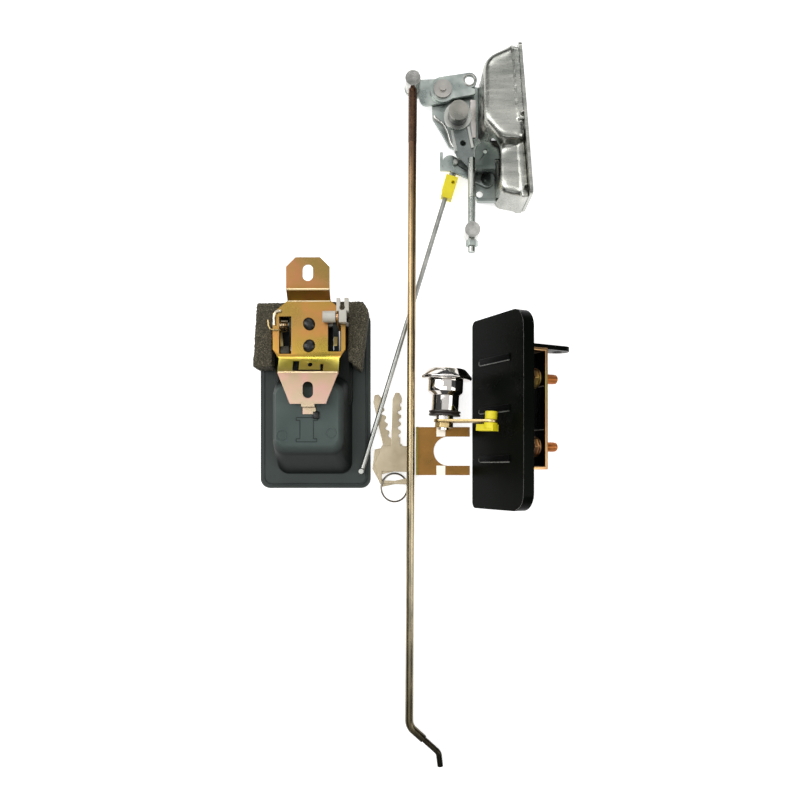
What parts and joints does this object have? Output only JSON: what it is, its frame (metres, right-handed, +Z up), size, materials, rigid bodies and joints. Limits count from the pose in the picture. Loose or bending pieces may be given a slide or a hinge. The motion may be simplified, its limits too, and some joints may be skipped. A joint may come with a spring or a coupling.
{
  "type": "cab door lock",
  "caption": "Cab door lock set laid out flat: side latch with levers and rods, inside handle cup, outside grip with bracket, lock cylinder, retaining clip and keys.",
  "frame": {"origin": "middle of the set's outline at the surface it lies on", "axes": "+Y along the long rod from its bent end to the latch, +X towards the outside handle, +Z up from the surface"},
  "size_m": [0.2071, 0.4719, 0.0551],
  "materials": {
    "zinc_steel": "bright zinc plate",
    "rod_steel": "yellow passivated",
    "gold_zinc": "yellow zinc plate",
    "black_plastic": "moulded",
    "foam": "open-cell foam",
    "nylon": "natural nylon",
    "black_paint": "satin black",
    "copper_stud": "copper tone",
    "chrome": "bright",
    "cam_brass": "pale",
    "yellow_plastic": "moulded",
    "clip_steel": "yellow passivated",
    "key_nickel": "nickel",
    "spring_steel": "plain"
  },
  "bodies": {
    "set_base": {"latch_case": "zinc_steel", "face_plate": "zinc_steel", "rotor_pin": "spring_steel", "rotor_spring": "spring_steel", "pawl_pin": "spring_steel", "pawl_spring": "spring_steel", "lever_plate": "zinc_steel", "main_stud": "zinc_steel", "rod_lever_rivet": "zinc_steel", "lock_lever_rivet": "zinc_steel", "inside_cup": "black_plastic", "inside_bracket": "gold_zinc", "foam_pad_left": "foam", "foam_pad_right": "foam", "inside_lever_pin": "spring_steel", "inside_spring": "gold_zinc", "outside_grip": "black_paint", "grip_arm": "black_paint", "lock_cap": "chrome", "lock_body": "chrome", "lock_ring": "black_paint", "retaining_clip": "clip_steel", "key_ring": "chrome"},
    "rotor": {"rotor": "spring_steel"},
    "pawl": {"pawl": "spring_steel", "pawl_tab": "zinc_steel"},
    "release_lever": {"release_lever": "zinc_steel", "swivel_nut": "zinc_steel"},
    "lower_swivel": {"lower_swivel": "zinc_steel"},
    "rod_lever": {"rod_lever": "zinc_steel", "eye_plate": "zinc_steel"},
    "long_rod": {"long_rod": "rod_steel", "upper_swivel": "zinc_steel"},
    "lock_lever": {"lock_lever": "zinc_steel"},
    "thin_rod": {"thin_rod": "zinc_steel", "rod_clip": "yellow_plastic"},
    "inside_lever": {"inside_lever": "black_plastic", "inside_crank": "gold_zinc", "rod_bush": "nylon"},
    "outside_bracket": {"outside_bracket": "gold_zinc", "hinge_pin": "spring_steel", "grip_spring": "spring_steel", "fixing_studs": "copper_stud", "stud_nuts": "gold_zinc"},
    "lock_plug": {"lock_plug": "chrome", "lock_cam": "cam_brass", "cam_nut": "cam_brass", "cam_clip": "yellow_plastic"},
    "key_front": {"key_front": "key_nickel"},
    "key_rear": {"key_rear": "key_nickel"}
  },
  "joints": [
    {"name": "rotor_turn", "type": "hinge", "parent": "set_base", "child": "rotor", "pos_m": [0.06392, 0.20299, 0.02], "axis": [-0.9969, -0.0785, 0], "range_deg": [0, 65], "stiffness_Nm_per_rad": 0.05, "springref_deg": -17.19},
    {"name": "pawl_turn", "type": "hinge", "parent": "set_base", "child": "pawl", "pos_m": [0.06643, 0.17108, 0.018], "axis": [0.9969, 0.0785, 0], "range_deg": [-6, 0]},
    {"name": "release_turn", "type": "hinge", "parent": "set_base", "child": "release_lever", "pos_m": [0.0305, 0.196, 0.0195], "axis": [0, 0, 1], "range_deg": [0, 8], "stiffness_Nm_per_rad": 0.2, "springref_deg": -11.46},
    {"name": "lower_swivel_turn", "type": "hinge", "parent": "release_lever", "child": "lower_swivel", "pos_m": [0.0397, 0.1205, 0.0195], "axis": [0, 1, 0], "range_deg": [-45, 45]},
    {"name": "rod_lever_turn", "type": "hinge", "parent": "set_base", "child": "rod_lever", "pos_m": [0.0211, 0.2174, 0.011], "axis": [0, 0, 1], "range_deg": [-12, 12]},
    {"name": "long_rod_turn", "type": "hinge", "parent": "rod_lever", "child": "long_rod", "pos_m": [0.0011, 0.2191, 0.0184], "axis": [0, 0, 1], "range_deg": [-12, 12]},
    {"name": "lock_lever_turn", "type": "hinge", "parent": "set_base", "child": "lock_lever", "pos_m": [0.0509, 0.1582, 0.01], "axis": [0, 0, 1], "range_deg": [0, 10]},
    {"name": "thin_rod_turn", "type": "hinge", "parent": "lock_lever", "child": "thin_rod", "pos_m": [0.0296, 0.169, 0.01], "axis": [0, 0, 1], "range_deg": [-10, 0]},
    {"name": "inside_lever_turn", "type": "hinge", "parent": "set_base", "child": "inside_lever", "pos_m": [-0.0655, 0.0595, 0.022], "axis": [1, 0, 0], "range_deg": [0, 20], "stiffness_Nm_per_rad": 0.06, "springref_deg": -22.92},
    {"name": "outside_hinge", "type": "hinge", "parent": "set_base", "child": "outside_bracket", "pos_m": [0.05422, 0.0035, 0.00637], "axis": [0, 1, 0], "range_deg": [0, 22], "stiffness_Nm_per_rad": 0.25, "springref_deg": -20.05},
    {"name": "plug_turn", "type": "hinge", "parent": "set_base", "child": "lock_plug", "pos_m": [0.0233, 0.024, 0.0168], "axis": [-0.0523, -0.9986, 0], "range_deg": [0, 90]},
    {"name": "key_front_turn", "type": "hinge", "parent": "set_base", "child": "key_front", "pos_m": [-0.011, -0.0395, 0.005], "axis": [0, 0, 1], "range_deg": [-2, 2]},
    {"name": "key_rear_turn", "type": "hinge", "parent": "set_base", "child": "key_rear", "pos_m": [-0.011, -0.0395, 0.003], "axis": [0, 0, 1], "range_deg": [-2, 2]}
  ],
  "couplings": [
    {"joint": "pawl_turn", "follows": "release_turn", "ratio": -0.75},
    {"joint": "long_rod_turn", "follows": "rod_lever_turn", "ratio": -1},
    {"joint": "thin_rod_turn", "follows": "lock_lever_turn", "ratio": -1}
  ]
}
